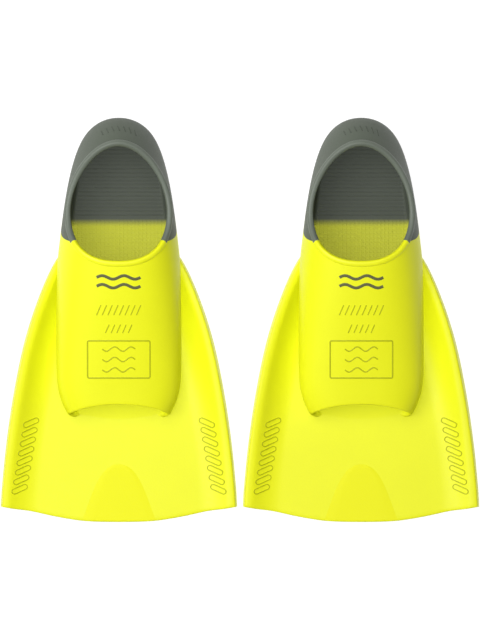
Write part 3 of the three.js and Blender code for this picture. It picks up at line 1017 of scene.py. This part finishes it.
# Inside the pocket: grey at the seam, a real colour change given in the heel's painted-shade grey, then
# the darker yellow of painted shade under the instep, brightening to full yellow towards the toe
# window, where less shade falls
YELLOW_INSIDE_PAINTED_SHADE = silicone("yellow_silicone_inside_painted_shade", YELLOW_INSIDE_SHADE_TONE, 0.62, 0.5, 0.05, (
    (SEAM_FLOOR_ALONG, GREY_INSIDE_SHADE_TONE), (SEAM_FLOOR_ALONG + 6.5, YELLOW_INSIDE_SHADE_TONE),
    (150.0, YELLOW_INSIDE_SHADE_TONE), (230.0, YELLOW_TONE),
))
GREY = silicone("grey_silicone", GREY_TONE, 0.55, 0.45, 0.07)
# the heel's inner faces and insole: grey darkened as painted shade
GREY_INSIDE_PAINTED_SHADE = silicone("grey_silicone_inside_painted_shade", GREY_INSIDE_SHADE_TONE, 0.62, 0.5, 0.07)
# darker grey on the heel's raised bars: painted shade
GREY_LINES_PAINTED_SHADE = silicone("grey_silicone_lines_painted_shade", (0.068, 0.080, 0.060), 0.55, 0.45, 0.05)
# lighter grey on the heel's rolled rim: painted highlight where its top faces the light
GREY_RIM_PAINTED_HIGHLIGHT = silicone("grey_silicone_rim_painted_highlight", (0.130, 0.150, 0.120), 0.45, 0.2, 0.03)
PRINT = silicone("grey_print", (0.110, 0.115, 0.045), 0.60, 0.2, 0.06)


# ---- Pieces of both fins ----

def fin_point(side, along, height=0.0):
    return tuple(place_fin([(0.0, along, height)], side)[0])


def ride_heel(piece, side):
    start, end = (fin_point(side, along) for along in HEEL_BLEND_ALONG)
    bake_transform(piece)


def ride_blade(piece, side):
    start, end = (fin_point(side, along) for along in FLEX_BLEND_ALONG)
    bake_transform(piece)


def build_fin(side):
    fin = f"{side}_fin"
    heel = heel_shell(side)
    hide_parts(f"{side}_heel_cup")
    # the heel's rim bead takes the lighter grey of a painted highlight
    heel_bead = rim_bead(side, "heel_rim_bead", GREY_RIM_PAINTED_HIGHLIGHT, "grey_silicone", True)
    heel_floor = insole(
        side, "heel_insole", GREY_INSIDE_PAINTED_SHADE, "grey_silicone", HEEL_FLOOR_BACK, SEAM_FLOOR_ALONG, (),
    )
    for piece in (heel, heel_bead, heel_floor, heel_relief(side)):
        ride_heel(piece, side)

    pocket = pocket_shell(side)
    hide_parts(f"{side}_foot_pocket")
    pocket_bead = rim_bead(side, "pocket_rim_bead", YELLOW, "yellow_silicone", False)
    grid = np.arange(-GRID_HALF_WIDTH, GRID_HALF_WIDTH + 0.1, RIB_PITCH)
    pocket_floor = insole(
        side, "pocket_insole", YELLOW_INSIDE_PAINTED_SHADE, "yellow_silicone", SEAM_FLOOR_ALONG, TOE_FOOT_ALONG, grid,
    )
    for piece in (pocket, pocket_bead, pocket_floor, instep_relief(side)):
        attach(piece, fin)

    plate = fin_plate(side)
    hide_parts(f"{side}_sole", f"{side}_blade")
    ride_blade(plate, side)
    ride_blade(blade_tongue(side), side)
    ride_blade(rail_relief(side), side)

    for name in ("print_wave_rear", "print_wave_front"):
        low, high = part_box(f"{side}_{name}")
        along = (HEEL_BACK - (low.y + high.y) / 2) / MM
        band = print_wave(side, name.replace("print", "printed"), along)
        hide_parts(f"{side}_{name}")
        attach(band, fin)


# ---- Camera, light and floor ----

CAMERA_HEIGHT = 20.0  # far away with a long lens, as the fins show almost no perspective
FRAME_HEIGHT = 0.586  # what the picture's height spans on the floor
FLOOR_LEVEL = -0.0004  # clear of the flat undersides


def make_camera():
    data = bpy.data.cameras.new("camera")
    data.sensor_width = 36
    data.lens = data.sensor_width * CAMERA_HEIGHT / FRAME_HEIGHT
    data.clip_end = 2 * CAMERA_HEIGHT
    camera = bpy.data.objects.new("camera", data)
    camera.location = (0, 0, CAMERA_HEIGHT)
    bpy.context.scene.collection.objects.link(camera)
    bpy.context.scene.camera = camera


def make_floor():
    """A pale floor just under the soles, bright enough to look white in the picture."""
    material = bpy.data.materials.new("pale_floor")
    material.use_nodes = True
    shader = material.node_tree.nodes["Principled BSDF"]
    shader.inputs["Base Color"].default_value = (0.3, 0.3, 0.3, 1)
    shader.inputs["Roughness"].default_value = 1
    shader.inputs["Emission Color"].default_value = (1, 1, 1, 1)
    shader.inputs["Emission Strength"].default_value = 0.82
    bpy.ops.mesh.primitive_plane_add(size=30, location=(0, 0, FLOOR_LEVEL))
    floor = bpy.context.object
    floor.name = "floor"
    floor.data.materials.append(material)


def area_light(name, place, size, power, shadow):
    data = bpy.data.lights.new(name, "AREA")
    data.size = size
    data.energy = power
    data.use_shadow = shadow
    light = bpy.data.objects.new(name, data)
    light.location = place
    light.rotation_euler = Vector(place).to_track_quat("Z", "Y").to_euler()
    bpy.context.scene.collection.objects.link(light)


SURROUND_STRENGTH = 0.22
KEY_PLACE, KEY_SIZE, KEY_POWER = (-0.70, 0.35, 2.3), 2.0, 35
FILL_PLACE, FILL_SIZE, FILL_POWER = (-1.05, 0.3, 2.15), 1.2, 33  # softens the key's shadows


def make_light():
    area_light("key_light", KEY_PLACE, KEY_SIZE, KEY_POWER, shadow=True)
    area_light("side_fill", FILL_PLACE, FILL_SIZE, FILL_POWER, shadow=False)
    world = bpy.data.worlds.new("soft_surround")
    world.use_nodes = True
    background = world.node_tree.nodes["Background"]
    background.inputs["Color"].default_value = (1, 1, 1, 1)
    background.inputs["Strength"].default_value = SURROUND_STRENGTH
    bpy.context.scene.world = world


make_camera()
make_floor()
make_light()
for fin_side in SIDES:
    build_fin(fin_side)
bpy.context.scene.view_settings.view_transform = "Standard"
